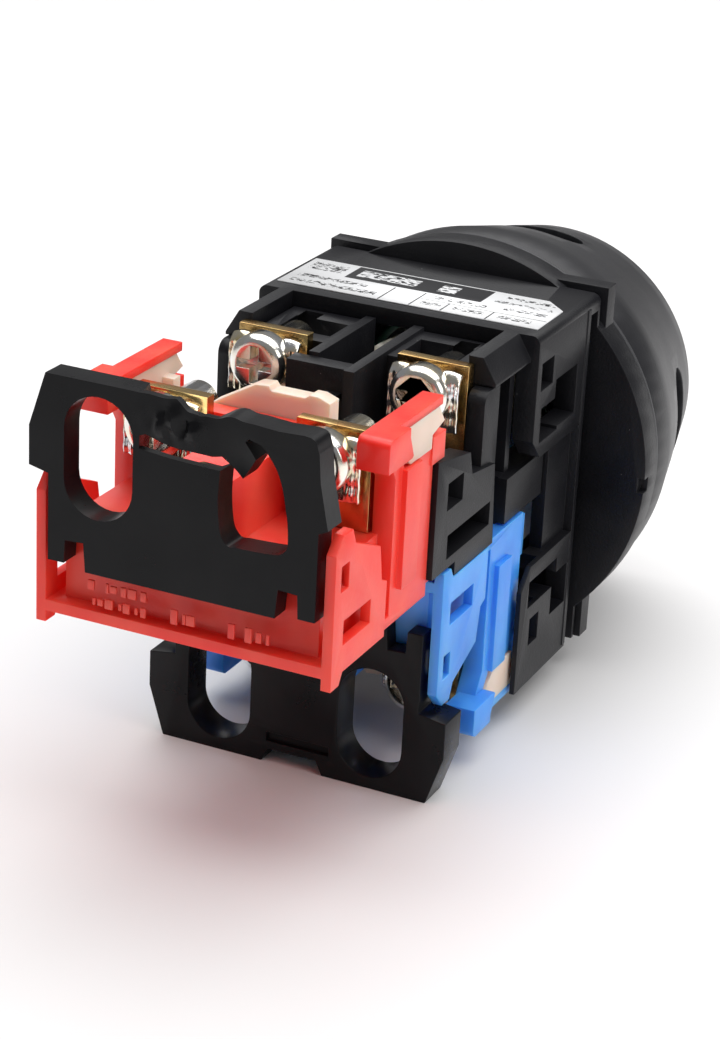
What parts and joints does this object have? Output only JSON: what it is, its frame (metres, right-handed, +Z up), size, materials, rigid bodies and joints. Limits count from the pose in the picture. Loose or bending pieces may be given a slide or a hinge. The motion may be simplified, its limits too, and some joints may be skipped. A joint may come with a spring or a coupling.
{
  "type": "industrial push button",
  "caption": "Illuminated panel push button with a windowed guard ring, square body, lamp terminal block and stacked open and closed contact blocks.",
  "frame": {"origin": "on the button's axis, in the plane of the panel's rear face, which the flange bears on", "axes": "-Y out of the button's face, +Y towards the wiring terminals, +Z up, the first contact block hangs below Z = 0"},
  "size_m": [0.04, 0.081, 0.0418],
  "materials": {
    "body_black": "fine satin moulded black plastic",
    "guard_black": "satin black plastic",
    "cover_black": "semi-gloss black plastic",
    "rubber_black": "soft black rubber",
    "washer_grey": "dark grey plastic",
    "lens_green": "translucent green",
    "diffuser_white": "milk white",
    "plunger_white": "natural white plastic",
    "label_white": "printed film",
    "block_red": "translucent red plastic",
    "block_blue": "translucent blue plastic",
    "inner_cream": "cream plastic",
    "terminal_brass": "bright brass plate",
    "saddle_nickel": "bright nickel plate",
    "screw_nickel": "bright nickel plate",
    "contact_copper": "copper alloy",
    "spring_steel": "drawn spring wire",
    "socket_metal": "nickel plated",
    "bulb_glass": "frosted glass"
  },
  "bodies": {
    "base": {"base_housing": "body_black", "rating_label": "label_white", "panel_gasket": "rubber_black", "thrust_washer": "washer_grey", "button_seal": "rubber_black", "button_spring": "spring_steel", "lamp_socket": "socket_metal", "lamp_cap": "socket_metal", "lamp_bulb": "bulb_glass", "lamp_contact_spring": "spring_steel", "lamp_block": "body_black", "lamp_terminal_left": "terminal_brass", "lamp_terminal_right": "terminal_brass", "no_housing": "block_blue", "no_inner": "inner_cream", "no_return_spring": "spring_steel", "no_terminal_cover": "cover_black", "no_terminal_left": "terminal_brass", "no_terminal_right": "terminal_brass", "nc_housing": "block_red", "nc_inner": "inner_cream", "nc_return_spring": "spring_steel", "nc_terminal_cover": "cover_black", "nc_terminal_left": "terminal_brass", "nc_terminal_right": "terminal_brass"},
    "guard_ring": {"guard_ring": "guard_black"},
    "button": {"lens_cap": "lens_green", "diffuser": "diffuser_white", "plunger": "plunger_white"},
    "no_slide": {"no_slider": "inner_cream", "no_moving_contact": "contact_copper", "no_contact_spring": "spring_steel"},
    "nc_slide": {"nc_slider": "inner_cream", "nc_moving_contact": "contact_copper", "nc_contact_spring": "spring_steel"},
    "lamp_screw_left_body": {"lamp_screw_left": "screw_nickel", "lamp_saddle_left": "saddle_nickel"},
    "lamp_screw_right_body": {"lamp_screw_right": "screw_nickel", "lamp_saddle_right": "saddle_nickel"},
    "no_screw_left_body": {"no_screw_left": "screw_nickel", "no_saddle_left": "saddle_nickel"},
    "no_screw_right_body": {"no_screw_right": "screw_nickel", "no_saddle_right": "saddle_nickel"},
    "nc_screw_left_body": {"nc_screw_left": "screw_nickel", "nc_saddle_left": "saddle_nickel"},
    "nc_screw_right_body": {"nc_screw_right": "screw_nickel", "nc_saddle_right": "saddle_nickel"}
  },
  "joints": [
    {"name": "button_press", "type": "slide", "parent": "base", "child": "button", "axis": [0, 1, 0], "range_m": [0, 0.0045], "stiffness_N_per_m": 1000, "springref_m": -0.0025, "deforming": ["button_spring"]},
    {"name": "no_slide_push", "type": "slide", "parent": "base", "child": "no_slide", "axis": [0, 1, 0], "range_m": [0, 0.0045], "deforming": ["no_return_spring"]},
    {"name": "nc_slide_push", "type": "slide", "parent": "base", "child": "nc_slide", "axis": [0, 1, 0], "range_m": [0, 0.0045], "deforming": ["nc_return_spring"]},
    {"name": "guard_turn", "type": "hinge", "parent": "base", "child": "guard_ring", "pos_m": [0, -0.012, 0], "axis": [0, 1, 0], "continuous": true},
    {"name": "lamp_screw_left_lift", "type": "slide", "parent": "base", "child": "lamp_screw_left_body", "axis": [0, 1, 0], "range_m": [0, 0.002]},
    {"name": "lamp_screw_right_lift", "type": "slide", "parent": "base", "child": "lamp_screw_right_body", "axis": [0, 1, 0], "range_m": [0, 0.002]},
    {"name": "no_screw_left_lift", "type": "slide", "parent": "base", "child": "no_screw_left_body", "axis": [0, 1, 0], "range_m": [0, 0.002]},
    {"name": "no_screw_right_lift", "type": "slide", "parent": "base", "child": "no_screw_right_body", "axis": [0, 1, 0], "range_m": [0, 0.002]},
    {"name": "nc_screw_left_lift", "type": "slide", "parent": "base", "child": "nc_screw_left_body", "axis": [0, 1, 0], "range_m": [0, 0.002]},
    {"name": "nc_screw_right_lift", "type": "slide", "parent": "base", "child": "nc_screw_right_body", "axis": [0, 1, 0], "range_m": [0, 0.002]}
  ],
  "couplings": [
    {"joint": "no_slide_push", "follows": "button_press", "ratio": 1},
    {"joint": "nc_slide_push", "follows": "button_press", "ratio": 1}
  ]
}
